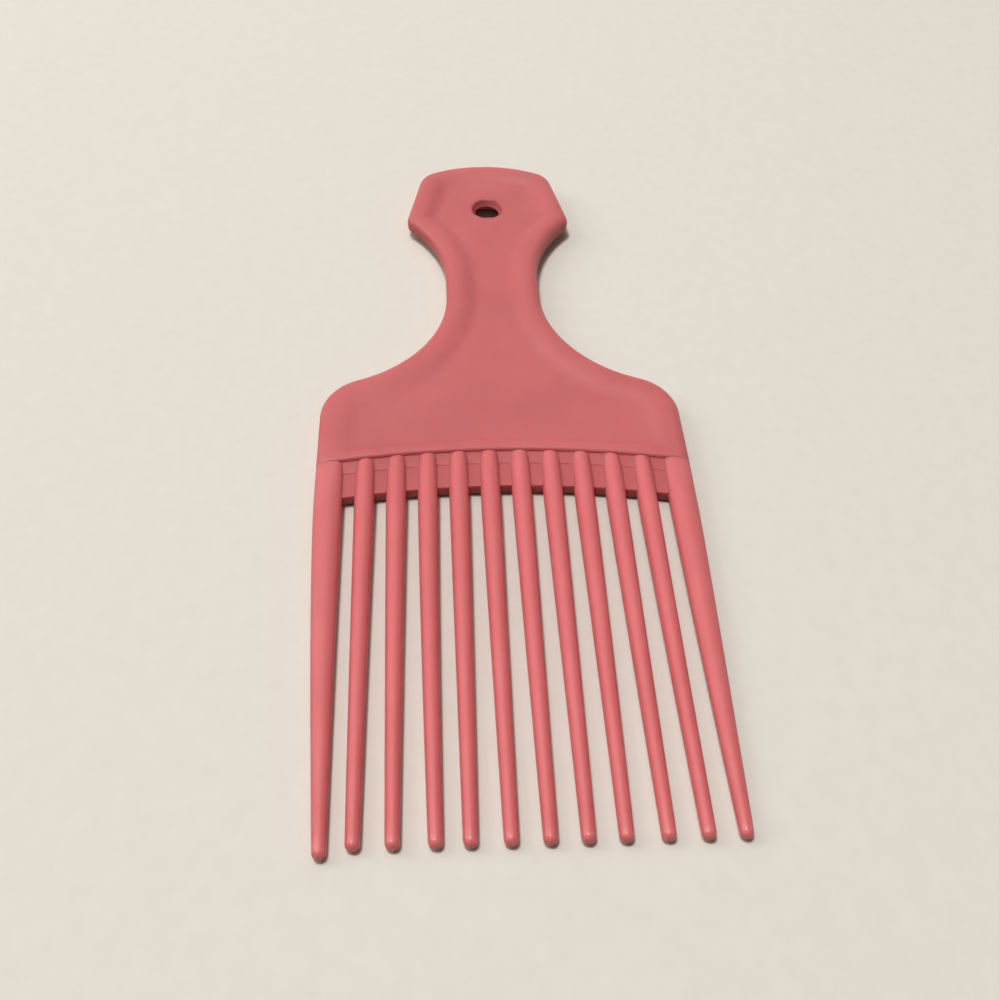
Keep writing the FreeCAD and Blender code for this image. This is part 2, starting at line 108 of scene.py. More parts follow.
def add_node(tree: bpy.types.NodeTree, kind: str, inputs: Mapping[str, SocketValue],
             **settings: object) -> bpy.types.Node:
    """Adds a shader node.

    Args:
        tree: node tree that gets the node.
        kind: Blender's name for the kind of node.
        inputs: value of each input by its name, or the output that feeds it.
        settings: properties of the node.

    Returns:
        The new node.
    """
    node = tree.nodes.new(kind)
    for key, value in settings.items():
        setattr(node, key, value)
    for key, value in inputs.items():
        if isinstance(value, bpy.types.NodeSocket):
            tree.links.new(value, node.inputs[key])
        else:
            node.inputs[key].default_value = value
    return node


def new_material(name: str) -> tuple[bpy.types.Material, bpy.types.NodeTree]:
    """An empty node material.

    Args:
        name: what the surface is made of and how it was made.

    Returns:
        The material and its node tree.
    """
    material = bpy.data.materials.new(name)
    material.use_nodes = True
    material.node_tree.nodes.clear()
    return material, material.node_tree


def background_rays(tree: bpy.types.NodeTree) -> bpy.types.NodeSocket:
    """Picks out the rays that show the background: seen straight, in a reflection or through glass.

    Args:
        tree: node tree that gets the nodes.

    Returns:
        An output that is 1 for those rays and 0 for light that falls on things.
    """
    path = add_node(tree, "ShaderNodeLightPath", {}).outputs
    straight = add_node(tree, "ShaderNodeMath", {
        0: path["Is Camera Ray"], 1: path["Is Transmission Ray"]}, operation="MAXIMUM")
    shown = add_node(tree, "ShaderNodeMath", {
        0: straight.outputs[0], 1: path["Is Glossy Ray"]}, operation="MAXIMUM")
    return shown.outputs[0]


def smooth_step(share: float) -> float:
    """A smooth rise from 0 to 1, level at both ends."""
    share = min(max(share, 0.0), 1.0)
    return share * share * (3 - 2 * share)


def soft_step(share: float) -> float:
    """A rise from 0 to 1 that shows no crease at either end."""
    return share ** 3 * (10 - 15 * share + 6 * share ** 2)


def make_piece(name: str, points: Sequence[Vector], faces: Sequence[Sequence[int]]) -> bpy.types.Object:
    """A smooth mesh object whose sharp edges stay sharp.

    Args:
        name: name of the piece.
        points: corners in the frame's metres.
        faces: corner numbers of each face.

    Returns:
        The new object.
    """
    mesh = bpy.data.meshes.new(name)
    mesh.from_pydata(points, [], faces)
    shape = bmesh.new()
    shape.from_mesh(mesh)
    bmesh.ops.recalc_face_normals(shape, faces=shape.faces)
    for face in shape.faces:
        face.smooth = True
    for edge in shape.edges:
        edge.smooth = edge.calc_face_angle(0.0) < SHARP_EDGE
    shape.to_mesh(mesh)
    shape.free()
    piece = bpy.data.objects.new(name, mesh)
    bpy.context.scene.collection.objects.link(piece)
    return piece


def loft_faces(rings: int, around: int) -> list[tuple[int, int, int, int]]:
    """Faces between closed rings of equally many points.

    Args:
        rings: number of rings, numbered one after another.
        around: points in each ring.

    Returns:
        Corner numbers of each face.
    """
    faces = []
    for ring in range(rings - 1):
        for spot in range(around):
            following = (spot + 1) % around
            low, high = ring * around, (ring + 1) * around
            faces.append((low + spot, low + following, high + following, high + spot))
    return faces


@dataclass(frozen=True)
class Measure:
    """The pick's own measure, read from the frame."""

    tip_line: float
    middle: float
    half_width: float
    half_thickness: float

    @classmethod
    def from_frame(cls) -> "Measure":
        """Reads the tip line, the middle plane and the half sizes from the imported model's box."""
        low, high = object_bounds()
        return cls(low.y, (low.z + high.z) / 2, (high.x - low.x) / 2 / MM, (high.z - low.z) / 2 / MM)

    def place(self, x: float, y: float, z: float) -> Vector:
        """A point of the pick in the frame's metres."""
        return Vector((x * MM, self.tip_line + y * MM, self.middle + z * MM))


# Finishes

@dataclass(frozen=True)
class Mottle:
    """Cloudy noise, with the size of its largest blots."""

    size: float
    detail: float
    roughness: float = 0.5

    def add(self, tree: bpy.types.NodeTree, place: bpy.types.NodeSocket) -> bpy.types.NodeSocket:
        """Adds the noise to a material.

        Args:
            tree: node tree that gets the noise.
            place: output that gives the place in metres.

        Returns:
            The output that holds the noise.
        """
        noise = add_node(tree, "ShaderNodeTexNoise", {
            "Vector": place, "Scale": 1 / (self.size * MM), "Detail": self.detail,
            "Roughness": self.roughness})
        return noise.outputs["Fac"]


@dataclass(frozen=True)
class MouldedPolypropylene:
    """Dyed polypropylene from a polished mould.

    It looks satin rather than glossy, lets a little red light through where it is thin, and shows faint
    clouds in its dye, a fine grain and duller patches from handling.
    """

    name: str = "polypropylene_moulded_pink"
    colour: str = "#D16063"
    cloud_colour: str = "#CA595C"
    ior: float = 1.49
    dull: float = 0.5
    bright: float = 0.38
    clouds: Mottle = Mottle(16.0, 3.0, 0.55)
    cloud_span: tuple[float, float] = (0.35, 0.65)
    patches: Mottle = Mottle(5.0, 4.0, 0.6)
    patch_span: tuple[float, float] = (0.3, 0.7)
    # Real mould grain is finer than the eye sees here, so it is drawn coarse enough to show.
    grain: Mottle = Mottle(0.5, 2.0)
    grain_depth: float = 0.012
    grain_strength: float = 0.35
    scatter: float = 2.0
    scatter_share: float = 1.0
    coat: float = 0.0
    tip_coat: float = 0.5
    coat_roughness: float = 0.1
    # Rubbing polishes the tips over this length, and the polish fades over as much again.
    tip_length: float = 1.2
    scatter_reach: tuple[float, float, float] = (1.0, 0.28, 0.22)

    def material(self, tip_line: float) -> bpy.types.Material:
        """Builds the plastic's material.

        Args:
            tip_line: the tips' place along y, in the frame's metres.

        Returns:
            The material.
        """
        material, tree = new_material(self.name)
        place = add_node(tree, "ShaderNodeTexCoord", {}).outputs["Object"]
        dye = add_node(tree, "ShaderNodeValToRGB", {"Fac": self.clouds.add(tree, place)})
        tones = (self.cloud_colour, self.colour)
        for stop, span_end, tone in zip(dye.color_ramp.elements, self.cloud_span, tones):
            stop.position = span_end
            stop.color = linear_colour(tone)
        sheen = add_node(tree, "ShaderNodeMapRange", {
            "Value": self.patches.add(tree, place), "From Min": self.patch_span[0],
            "From Max": self.patch_span[1], "To Min": self.bright, "To Max": self.dull})
        relief = add_node(tree, "ShaderNodeBump", {
            "Height": self.grain.add(tree, place), "Strength": self.grain_strength,
            "Distance": self.grain_depth * MM})
        along = add_node(tree, "ShaderNodeSeparateXYZ", {"Vector": place}).outputs["Y"]
        polish = add_node(tree, "ShaderNodeMapRange", {
            "Value": along, "From Min": tip_line + self.tip_length * MM,
            "From Max": tip_line + 2 * self.tip_length * MM, "To Min": self.tip_coat, "To Max": self.coat})
        surface = add_node(tree, "ShaderNodeBsdfPrincipled", {
            "Base Color": dye.outputs["Color"], "Roughness": sheen.outputs["Result"], "IOR": self.ior,
            "Normal": relief.outputs["Normal"], "Subsurface Weight": self.scatter_share,
            "Subsurface Radius": self.scatter_reach, "Subsurface Scale": self.scatter * MM,
            "Coat Weight": polish.outputs["Result"], "Coat Roughness": self.coat_roughness})
        add_node(tree, "ShaderNodeOutputMaterial", {"Surface": surface.outputs["BSDF"]})
        return material


@dataclass(frozen=True)
class PaperBackdrop:
    """Matt pale paper: plain to the eye, and it throws a warm dim light back on what lies on it.

    Far from the pick it runs into the surroundings, so that no edge shows.
    """

    far_colour: str
    name: str = "paper_matt_pale"
    colour: str = "#ECE6DC"
    cast_colour: str = "#A98558"
    fibre_colour: str = "#E6DFD4"
    fibres: Mottle = Mottle(3.0, 3.0)
    fade_start: float = 320.0
    fade_end: float = 680.0

    def material(self) -> bpy.types.Material:
        """Builds the backdrop's material."""
        material, tree = new_material(self.name)
        place = add_node(tree, "ShaderNodeTexCoord", {}).outputs["Object"]
        tone = add_node(tree, "ShaderNodeValToRGB", {"Fac": self.fibres.add(tree, place)})
        tone.color_ramp.elements[0].color = linear_colour(self.fibre_colour)
        tone.color_ramp.elements[1].color = linear_colour(self.colour)
        seen = add_node(tree, "ShaderNodeBsdfDiffuse", {"Color": tone.outputs["Color"]})
        cast = add_node(tree, "ShaderNodeBsdfDiffuse", {"Color": linear_colour(self.cast_colour)})
        away = add_node(tree, "ShaderNodeVectorMath", {0: place}, operation="LENGTH")
        fade = add_node(tree, "ShaderNodeMapRange", {
            "Value": away.outputs["Value"], "From Min": self.fade_start * MM,
            "From Max": self.fade_end * MM}, interpolation_type="SMOOTHSTEP")
        far = add_node(tree, "ShaderNodeEmission", {"Color": linear_colour(self.far_colour)})
        faded = add_node(tree, "ShaderNodeMixShader", {
            0: fade.outputs["Result"], 1: seen.outputs["BSDF"], 2: far.outputs["Emission"]})
        blend = add_node(tree, "ShaderNodeMixShader", {
            0: background_rays(tree), 1: cast.outputs["BSDF"], 2: faded.outputs["Shader"]})
        add_node(tree, "ShaderNodeOutputMaterial", {"Surface": blend.outputs["Shader"]})
        return material


# Outline of the plate

@dataclass(frozen=True)
class Run:
    """A stretch of an outline: straight, or an arc where it has a centre."""

    start: Vector
    end: Vector
    centre: Optional[Vector] = None

    def turn(self) -> float:
        """Angle of an arc from its start to its end, anticlockwise if positive."""
        first, last = self.start - self.centre, self.end - self.centre
        return math.atan2(first.cross(last), first.dot(last))

    def length(self) -> float:
        """Length along the stretch."""
        if self.centre is None:
            return (self.end - self.start).length
        return abs(self.turn()) * (self.start - self.centre).length

    def point(self, share: float) -> Vector:
        """Point at a share of the way along the stretch."""
        if self.centre is None:
            return self.start.lerp(self.end, share)
        return self.centre + Matrix.Rotation(self.turn() * share, 2) @ (self.start - self.centre)


def walk(runs: Sequence[Run], steps: int) -> list[Vector]:
    """Evenly spaced points along joined stretches.

    Args:
        runs: stretches, each starting where the one before ends.
        steps: number of points.

    Returns:
        The points, from the first start up to, but not at, the last end.
    """
    lengths = [run.length() for run in runs]
    points = []
    for step in range(steps):
        travel = sum(lengths) * step / steps
        for run, length in zip(runs, lengths):
            if travel <= length:
                points.append(run.point(travel / length))
                break
            travel -= length
    return points


def on_line_and_circle(normal: Vector, offset: float, centre: Vector, radius: float) -> Vector:
    """Upper point that lies both on a line and on a circle.

    Args:
        normal: unit normal of the line.
        offset: the line's distance from the origin along its normal.
        centre: centre of the circle.
        radius: radius of the circle.

    Returns:
        The point.
    """
    along = Vector((-normal.y, normal.x))
    gap = offset - normal.dot(centre)
    return centre + normal * gap + along * math.sqrt(radius ** 2 - gap ** 2)


@dataclass(frozen=True)
class LipArch:
    """The arch that the teeth grow from, across the foot of the plate."""

    radius: float = 186.0
    crown: float = 74.1

    @property
    def centre(self) -> Vector:
        """Centre of the arch."""
        return Vector((0.0, self.crown - self.radius))

    def height(self, x: float, inset: float = 0.0) -> float:
        """How far the arch lies from the tip line at x, drawn into the plate by inset."""
        return self.centre.y + math.sqrt((self.radius + inset) ** 2 - x * x)


@dataclass(frozen=True)
class PlateOutline:
    """Plan of the plate: tangent arcs and straight stretches that can be drawn in from its edge."""

    side: float
    lip: LipArch
    crown_radius: float = 28.0
    crown_corner: float = 5.5
    head_width: float = 35.8
    head_drop: float = 20.6
    head_corner: float = 3.1
    head_lean: float = math.radians(11.6)
    neck_width: float = 19.4
    neck_radius: float = 28.5
    neck_straight: float = 5.5
    flare_radius: float = 26.8
    shoulder_radius: float = 9.9
    side_length: float = 12.98
    tightest_corner: float = 1.2

    def corner_radius(self, radius: float, inset: float) -> float:
        """Radius of an outward corner that is drawn in, kept from closing up."""
        return max(radius - inset, self.tightest_corner)

    def levels(self) -> tuple[float, float, float, float]:
        """Places along y of the flare's, neck's and head corner's centres, and of the top edge."""
        shoulder_y = self.lip.height(self.side) + self.side_length
        reach = self.flare_radius + self.shoulder_radius
        across = self.neck_width / 2 + self.flare_radius - (self.side - self.shoulder_radius)
        flare_y = shoulder_y + math.sqrt(reach ** 2 - across ** 2)
        neck_y = flare_y + self.neck_straight
        head_x = self.head_width / 2 - self.head_corner
        head_across = self.neck_width / 2 + self.neck_radius - head_x
        head_y = neck_y + math.sqrt((self.neck_radius + self.head_corner) ** 2 - head_across ** 2)
        return flare_y, neck_y, head_y, head_y + self.head_drop

    def right_side(self, inset: float, lip_inset: float, fold: float) -> list[list[Run]]:
        """Stretches of the right side, from the middle of the crown to the middle of the lip.

        Args:
            inset: how far the outline is drawn in from the crown and the sides.
            lip_inset: how far it is drawn in from the lip.
            fold: radius of the corner between side and lip, or 0 for a sharp one.

        Returns:
            Groups of stretches, in the order of the plate's stretches.
        """
        flare_y, neck_y, head_y, top = self.levels()
        normal = Vector((math.cos(self.head_lean), math.sin(self.head_lean)))
        head_centre = Vector((self.head_width / 2 - self.head_corner, head_y))
        reach = normal.dot(head_centre) + self.head_corner - inset
        crown, neck = self.crown_radius - inset, self.neck_radius + inset
        flare, shoulder = self.flare_radius + inset, self.corner_radius(self.shoulder_radius, inset)
        waist, side = self.neck_width / 2 - inset, self.side - inset
        corner = self.corner_radius(self.crown_corner, inset)
        cheek = self.corner_radius(self.head_corner, inset)
        crown_centre = Vector((0.0, top - self.crown_radius))
        neck_centre = Vector((waist + neck, neck_y))
        flare_centre = Vector((waist + flare, flare_y))
        corner_centre = on_line_and_circle(normal, reach - corner, crown_centre, crown - corner)
        cheek_centre = on_line_and_circle(normal, reach - cheek, neck_centre, neck + cheek)
        shoulder_x = side - shoulder
        fall = math.sqrt((flare + shoulder) ** 2 - (shoulder_x - flare_centre.x) ** 2)
        shoulder_centre = Vector((shoulder_x, flare_y - fall))

        crown_middle = crown_centre + Vector((0.0, crown))
        crown_end = crown_centre + (corner_centre - crown_centre).normalized() * crown
        lean_top = corner_centre + normal * corner
        lean_foot = cheek_centre + normal * cheek
        neck_top = neck_centre + (cheek_centre - neck_centre).normalized() * neck
        waist_top, waist_foot = Vector((waist, neck_y)), Vector((waist, flare_y))
        flare_foot = flare_centre + (shoulder_centre - flare_centre).normalized() * flare
        side_top = Vector((side, shoulder_centre.y))
        sides, lips = self.foot(side_top, side, lip_inset, fold)
        return [
            [Run(crown_middle, crown_end, crown_centre)],
            [Run(crown_end, lean_top, corner_centre)],
            [Run(lean_top, lean_foot)],
            [Run(lean_foot, neck_top, cheek_centre)],
            [Run(neck_top, waist_top, neck_centre)],
            [Run(waist_top, waist_foot)],
            [Run(waist_foot, flare_foot, flare_centre)],
            [Run(flare_foot, side_top, shoulder_centre)],
            sides,
            lips,
        ]

    def foot(self, side_top: Vector, side: float, lip_inset: float,
             fold: float) -> tuple[list[Run], list[Run]]:
        """Straight side and lip of the right half, with half of their corner's rounding each.

        Args:
            side_top: where the straight side starts.
            side: distance of the side from the long axis.
            lip_inset: how far the lip is drawn in.
            fold: radius of the corner, or 0 for a sharp one.

        Returns:
            The stretches of the side and those of the lip.
        """
        lip_radius = self.lip.radius + lip_inset
        lip_middle = self.lip.centre + Vector((0.0, lip_radius))
        if fold == 0:
            foot = Vector((side, self.lip.height(side, lip_inset)))
            return [Run(side_top, foot)], [Run(foot, lip_middle, self.lip.centre)]
        fold_x = side - fold
        fold_centre = Vector((fold_x, self.lip.height(fold_x, lip_inset + fold)))
        side_foot = Vector((side, fold_centre.y))
        lip_end = self.lip.centre + (fold_centre - self.lip.centre).normalized() * lip_radius
        bend = Run(side_foot, lip_end, fold_centre)
        middle = bend.point(0.5)
        sides = [Run(side_top, side_foot), Run(side_foot, middle, fold_centre)]
        lips = [Run(middle, lip_end, fold_centre), Run(lip_end, lip_middle, self.lip.centre)]
        return sides, lips


# Handle plate

@dataclass(frozen=True)
class Stretch:
    """One stretch of the plate's edge: the points that draw it, and what the rim is like where it starts.

    The dish's slope reaches in from the edge by reach, and the rim stands up from the middle plane by rise.
    """

    points: int
    reach: float
    rise: float


@dataclass(frozen=True)
class HandlePlate:
    """Handle head, neck and shoulders: a plate with a rolled rim, dished on both faces, and a hang hole."""

    measure: Measure
    outline: PlateOutline
    name: str = "handle_plate_moulding"
    node: str = "handle_plate"
    edge_width: float = 2.2
    edge_steps: int = 14
    wall_share: float = 0.2
    lip_round: float = 0.7
    lip_border: float = 1.5
    crest: float = 2.5
    # Height of the dish's floor at the lip, and how much lower it lies at the crown.
    floor_level: float = 1.45
    floor_fall: float = 0.27
    dish_steps: int = 14
    narrow_reach: float = 4.0
    wide_reach: float = 9.0
    lip_reach: float = 3.2
    dish_fold: float = 3.0
    hole_radius: float = 3.3
    hole_drop: float = 16.8
    hole_waist: float = 2.65
    hole_round: float = 0.4
    hole_points: int = 64
    hole_steps: int = 8
    # Crown, crown corner, cheek, head corner, neck, waist, flare, shoulder, side and lip.
    stretches: tuple[Stretch, ...] = (
        Stretch(14, 8.2, 2.1), Stretch(10, 7.6, 2.15), Stretch(8, 7.6, 2.2), Stretch(10, 7.2, 2.2),
        Stretch(24, 6.8, 2.2), Stretch(6, 7.0, 2.2), Stretch(26, 7.2, 2.2), Stretch(18, 9.0, 2.05),
        Stretch(12, 8.4, 1.95), Stretch(40, 7.4, 1.85))

    def ring(self, inset: float, lip_inset: float, fold: float = 0.0) -> list[Vector]:
        """Points of the right side of an outline, drawn in from the plate's edge.

        Args:
            inset: how far it is drawn in from the crown and the sides.
            lip_inset: how far it is drawn in from the lip.
            fold: radius of the corner between side and lip.

        Returns:
            The points in plan, from the middle of the crown to the middle of the lip.
        """
        groups = self.outline.right_side(inset, lip_inset, fold)
        points = [point for runs, stretch in zip(groups, self.stretches)
                  for point in walk(runs, stretch.points)]
        return points + [groups[-1][-1].end]

    def eased(self, values: Sequence[float]) -> list[float]:
        """Eases a value from stretch to stretch, for each point of the right side.

        Args:
            values: the value where each stretch starts; the last one holds all along the lip.

        Returns:
            The value at each point.
        """
        result = []
        for stretch, value, following in zip(self.stretches, values, [*values[1:], values[-1]]):
            for step in range(stretch.points):
                result.append(value + (following - value) * smooth_step(step / stretch.points))
        return result + [values[-1]]

    def floor_ring(self) -> list[Vector]:
        """Points of the right side of the dish's floor, which starts further in at the shoulders."""
        narrow = self.ring(self.narrow_reach, self.lip_reach, self.dish_fold)
        wide = self.ring(self.wide_reach, self.lip_reach, self.dish_fold)
        span = self.wide_reach - self.narrow_reach
        reaches = self.eased([stretch.reach for stretch in self.stretches])
        return [near.lerp(far, (reach - self.narrow_reach) / span)
                for near, far, reach in zip(narrow, wide, reaches)]

    def floor_at(self, y: float) -> float:
        """Height of the dish's floor at a place along y."""
        foot, top = self.outline.lip.crown, self.outline.levels()[-1]
        return self.floor_level - self.floor_fall * (y - foot) / (top - foot)

    def upper_rings(self) -> list[list[Vector]]:
        """Right sides of the plate's rings, from the middle plane over the rim to the dish's floor."""
        rises = self.eased([stretch.rise for stretch in self.stretches])
        lip_rise = rises[-1]
        rings = [[point.to_3d() for point in self.ring(0.0, 0.0)]]
        for step in range(self.edge_steps + 1):
            angle = QUARTER_TURN * step / self.edge_steps
            share = self.wall_share + (1 - self.wall_share) * math.sin(angle)
            over = max(0.0, self.lip_round - lip_rise * (1 - share))
            lip_inset = self.lip_round - math.sqrt(max(self.lip_round ** 2 - over ** 2, 0.0))
            plan = self.ring(self.edge_width * (1 - math.cos(angle)), lip_inset)
            rings.append([Vector((point.x, point.y, rise * share)) for point, rise in zip(plan, rises)])
        crest = self.ring(self.crest, self.lip_border)
        floor = self.floor_ring()
        for step in range(self.dish_steps + 1):
            share = step / self.dish_steps
            fall = soft_step(share)
            ring = []
            for near, far, rise in zip(crest, floor, rises):
                spot = near.lerp(far, share)
                ring.append(Vector((spot.x, spot.y, rise + (self.floor_at(far.y) - rise) * fall)))
            rings.append(ring)
        return rings

    def build(self) -> bpy.types.Object:
        """Builds the plate's mesh, ring by ring from the lower dish to the upper one."""
        upper = self.upper_rings()
        lower = [[Vector((point.x, point.y, -point.z)) for point in ring] for ring in reversed(upper[1:])]
        stack = []
        for ring in lower + upper:
            stack.append(ring + [Vector((-point.x, point.y, point.z)) for point in reversed(ring[1:-1])])
        corners = [self.measure.place(*point) for ring in stack for point in ring]
        around = len(stack[0])
        faces = loft_faces(len(stack), around)
        floor_plan = [point.to_2d() for point in stack[-1]]
        hole_start = len(corners)
        hole_corners, hole_rings = self.hole()
        corners += hole_corners
        faces += [tuple(hole_start + corner for corner in face)
                  for face in loft_faces(hole_rings, self.hole_points)]
        faces += self.floor_faces(floor_plan, 0, hole_start + (hole_rings - 1) * self.hole_points)
        faces += self.floor_faces(floor_plan, (len(stack) - 1) * around, hole_start)
        return make_piece(self.name, corners, faces)

    def hole_centre(self) -> float:
        """How far the hang hole's centre lies from the tip line."""
        return self.outline.levels()[-1] - self.hole_drop

    def hole_ring(self, radius: float) -> list[Vector]:
        """Points of a circle about the hang hole."""
        turns = [2 * math.pi * spot / self.hole_points for spot in range(self.hole_points)]
        return [Vector((radius * math.cos(turn), self.hole_centre() + radius * math.sin(turn)))
                for turn in turns]

    def hole(self) -> tuple[list[Vector], int]:
        """Corners of the hang hole's rounded edges and wall, from the upper floor to the lower one.

        The wall leans in to a waist at the middle plane, where the mould's two pins met.

        Returns:
            The corners in the frame's metres, and the number of rings.
        """
        level = self.floor_at(self.hole_centre())
        upper = []
        for step in range(self.hole_steps + 1):
            angle = QUARTER_TURN * step / self.hole_steps
            radius = self.hole_radius + self.hole_round * (1 - math.sin(angle))
            upper.append((radius, level - self.hole_round * (1 - math.cos(angle))))
        lower = [(radius, -height) for radius, height in reversed(upper)]
        rings = upper + [(self.hole_waist, 0.0)] + lower
        corners = [self.measure.place(point.x, point.y, height)
                   for radius, height in rings for point in self.hole_ring(radius)]
        return corners, len(rings)

    def floor_faces(self, plan: Sequence[Vector], floor_start: int, hole_start: int) -> list[tuple[int, ...]]:
        """Triangles of one dish's floor round the hang hole.

        Args:
            plan: points of the floor's edge.
            floor_start: number of the first corner of that edge.
            hole_start: number of the first corner of the hole's edge on this floor.

        Returns:
            Corner numbers of each triangle.
        """
        rim = self.hole_ring(self.hole_radius + self.hole_round)
        numbers = [floor_start + spot for spot in range(len(plan))]
        numbers += [hole_start + spot for spot in range(len(rim))]
        outer = list(range(len(plan)))
        inner = list(range(len(plan), len(numbers)))
        edges = list(zip(outer, outer[1:] + outer[:1])) + list(zip(inner, inner[1:] + inner[:1]))
        spots, _, triangles, sources, _, _ = delaunay_2d_cdt(
            list(plan) + rim, edges, [], INSIDE_ONLY, PLAN_TOLERANCE)
        centre = Vector((0.0, self.hole_centre()))
        faces = []
        for triangle in triangles:
            middle = sum((spots[corner] for corner in triangle), Vector((0.0, 0.0))) / len(triangle)
            if (middle - centre).length > self.hole_radius + self.hole_round / 2:
                faces.append(tuple(numbers[sources[corner][0]] for corner in triangle))
        return faces


# Teeth

@dataclass(frozen=True)
class Station:
    """One cross-section of a tooth: its place along the tooth, middle, half sizes and squareness."""

    y: float
    x: float
    half_width: float
    half_height: float
    fullness: float = ELLIPSE

    def reach(self, height: float) -> float:
        """Half width of the section at a height above the middle plane."""
        share = min(abs(height) / self.half_height, 1.0)
        return self.half_width * (1 - share ** self.fullness) ** (1 / self.fullness)


@dataclass(frozen=True)
class Tooth:
    """A round tooth that tapers from its root at the lip to a domed tip, and leans a little to one side.

    A tooth that came out longer than the others reaches past the tip line by its overreach.
    """

    measure: Measure
    lip: LipArch
    node: str
    x: float
    bend: float
    overreach: float = 0.0
    overreach_length: float = 16.0
    tip_radius: float = 1.1
    dome: float = 1.1
    bluntness: float = 0.8
    root_radius: float = 1.775
    land: float = 12.0
    root_round: float = 0.9
    root_drop: float = 0.3
    plug: float = 1.0
    around: int = 40
    dome_steps: int = 8
    blade_steps: int = 24
    root_steps: int = 6

    def dome_sections(self) -> list[tuple[float, float]]:
        """Distance from the tip line and size, as a share of the tip's radius, of the dome's sections."""
        angles = [QUARTER_TURN * step / self.dome_steps for step in range(1, self.dome_steps + 1)]
        return [(self.dome * (1 - math.cos(angle)), math.sin(angle) ** self.bluntness)
                for angle in angles]

    def stations(self) -> list[Station]:
        """Sections of the tooth from its dome to its plug inside the plate."""
        lip = self.lip.height(self.x)
        land = self.lip.crown - self.land
        stations = [Station(y, self.x, self.tip_radius * size, self.tip_radius * size)
                    for y, size in self.dome_sections()]
        for step in range(1, self.blade_steps + 1):
            share = step / self.blade_steps
            radius = self.tip_radius + (self.root_radius - self.tip_radius) * share
            stations.append(Station(self.dome + (land - self.dome) * share, self.x, radius, radius))
        for step in range(self.root_steps + 1):
            angle = QUARTER_TURN * step / self.root_steps
            height = self.root_radius - self.root_drop * (1 - math.cos(angle))
            y = lip - self.root_round * (1 - math.sin(angle))
            stations.append(Station(y, self.x, self.root_radius, height))
        stations.append(Station(lip + self.plug, self.x, stations[-1].half_width, stations[-1].half_height))
        return stations

    def flank(self) -> Station:
        """The section that the webs meet."""
        return Station(self.lip.crown, self.x, self.root_radius, self.root_radius)

    def section(self, station: Station) -> list[Vector]:
        """Corners of one section, leaning with the tooth and following the lip's arch near the root."""
        land = self.lip.crown - self.land
        follow = smooth_step((station.y - land) / self.land)
        lean = self.bend * max(0.0, 1 - station.y / self.lip.crown) ** 2
        power = ELLIPSE / station.fullness
        corners = []
        for spot in range(self.around):
            angle = 2 * math.pi * spot / self.around
            across, up = math.cos(angle), math.sin(angle)
            x = station.x + math.copysign(abs(across) ** power, across) * station.half_width
            z = math.copysign(abs(up) ** power, up) * station.half_height
            arch = self.lip.height(x) - self.lip.height(station.x)
            y = station.y - self.past(station.y) + follow * arch
            corners.append(self.measure.place(x + lean, y, z))
        return corners

    def past(self, y: float) -> float:
        """How far the tooth's overreach moves a section that would lie at y."""
        return self.overreach * max(0.0, 1 - y / self.overreach_length) ** 2

    def build(self) -> bpy.types.Object:
        """Builds the tooth's mesh and closes it at the tip and inside the plate."""
        stations = self.stations()
        corners = [corner for station in stations for corner in self.section(station)]
        faces = loft_faces(len(stations), self.around)
        tip = len(corners)
        corners.append(self.measure.place(stations[0].x + self.bend, -self.overreach, 0.0))
        faces += [(tip, spot, (spot + 1) % self.around) for spot in range(self.around)]
        last = (len(stations) - 1) * self.around
        faces.append(tuple(range(last, last + self.around)))
        return make_piece(self.node + "_moulding", corners, faces)


class Side(Enum):
    """Sides of the pick, as the sign of x."""

    LEFT = -1
    RIGHT = 1


@dataclass(frozen=True)
class GuardTooth(Tooth):
    """A wide outer tooth: straight inside, arched outside, and running into the plate's rolled side."""

    tip_radius: float = 1.05
    side: Side = Side.LEFT
    root_width: float = 5.0
    root_thickness: float = 3.5
    arch: float = 1.25
    swell_thickness: float = 3.55
    swell_fullness: float = 2.7
    plug_share: float = 0.85

    def stations(self) -> list[Station]:
        """Sections of the tooth from its dome to its plug inside the plate."""
        sign = self.side.value
        middle = self.x + sign * self.root_width / 2
        lip = self.lip.height(middle)
        land = self.lip.crown - self.land
        stations = []
        for y, size in self.dome_sections():
            stations.append(Station(y, self.x + sign * self.tip_radius, self.tip_radius * size,
                                    self.tip_radius * size))
        for step in range(1, self.blade_steps + 1):
            share = step / self.blade_steps
            spread = self.root_width - 2 * self.tip_radius
            half_width = (self.root_width - spread * (1 - share) ** self.arch) / 2
            half_height = self.tip_radius + (self.root_thickness / 2 - self.tip_radius) * share
            y = self.dome + (land - self.dome) * share
            stations.append(Station(y, self.x + sign * half_width, half_width, half_height))
        for step in range(1, self.root_steps + 1):
            share = step / self.root_steps
            swell = smooth_step(share)
            thickness = self.root_thickness + (self.swell_thickness - self.root_thickness) * swell
            fullness = ELLIPSE + (self.swell_fullness - ELLIPSE) * swell
            y = land + (lip - land) * share
            stations.append(Station(y, middle, self.root_width / 2, thickness / 2, fullness))
        root = stations[-1]
        stations.append(Station(lip + self.plug, middle, root.half_width * self.plug_share,
                                root.half_height * self.plug_share, root.fullness))
        return stations

    def flank(self) -> Station:
        """The section that the webs meet."""
        middle = self.x + self.side.value * self.root_width / 2
        return Station(self.lip.crown, middle, self.root_width / 2, self.root_thickness / 2)


# Webs

